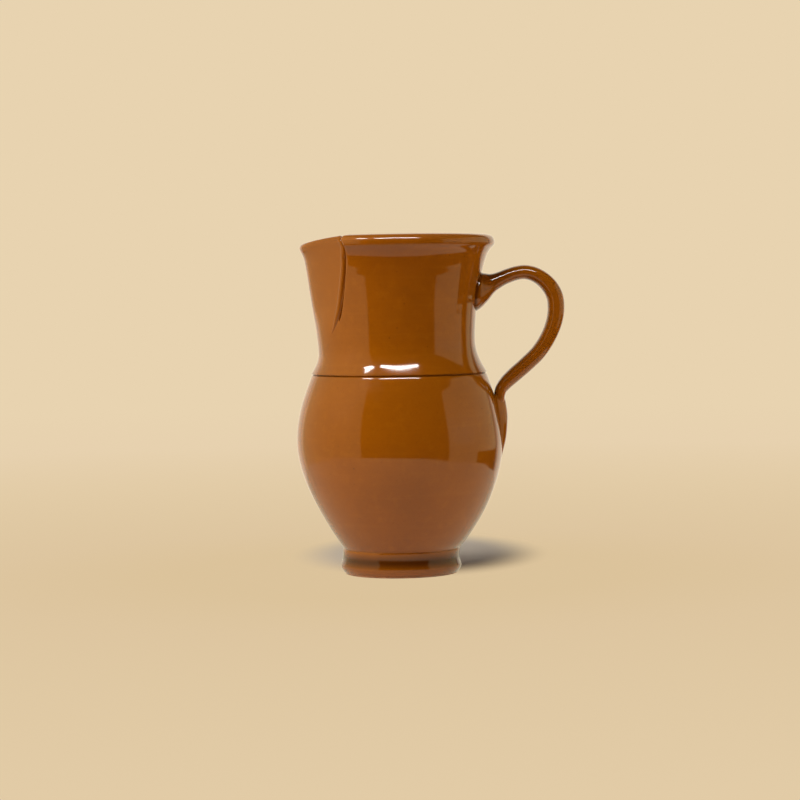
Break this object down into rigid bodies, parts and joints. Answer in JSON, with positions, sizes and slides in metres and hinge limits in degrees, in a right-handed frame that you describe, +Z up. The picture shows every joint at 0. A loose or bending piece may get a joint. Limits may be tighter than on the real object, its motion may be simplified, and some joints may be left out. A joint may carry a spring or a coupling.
{
  "type": "pitcher",
  "caption": "Wheel-thrown clay jug with a round belly, an incised shoulder ring, a rolled rim, a beak spout and a pulled strap handle.",
  "frame": {"origin": "centre of the flat base, on the pot's axis", "axes": "+Z up along the pot's axis, -X towards the spout, +X towards the handle"},
  "size_m": [0.1899, 0.146, 0.24],
  "materials": {
    "glaze": "glossy transparent caramel-brown glaze over reddish earthenware, with fine iron specks"
  },
  "bodies": {
    "root": {"foot": "glaze", "belly": "glaze", "neck": "glaze", "spout": "glaze", "spout_seam_coil_front": "glaze", "spout_seam_coil_back": "glaze", "handle": "glaze", "handle_root_wad": "glaze", "handle_tail_pad": "glaze"}
  },
  "joints": []
}
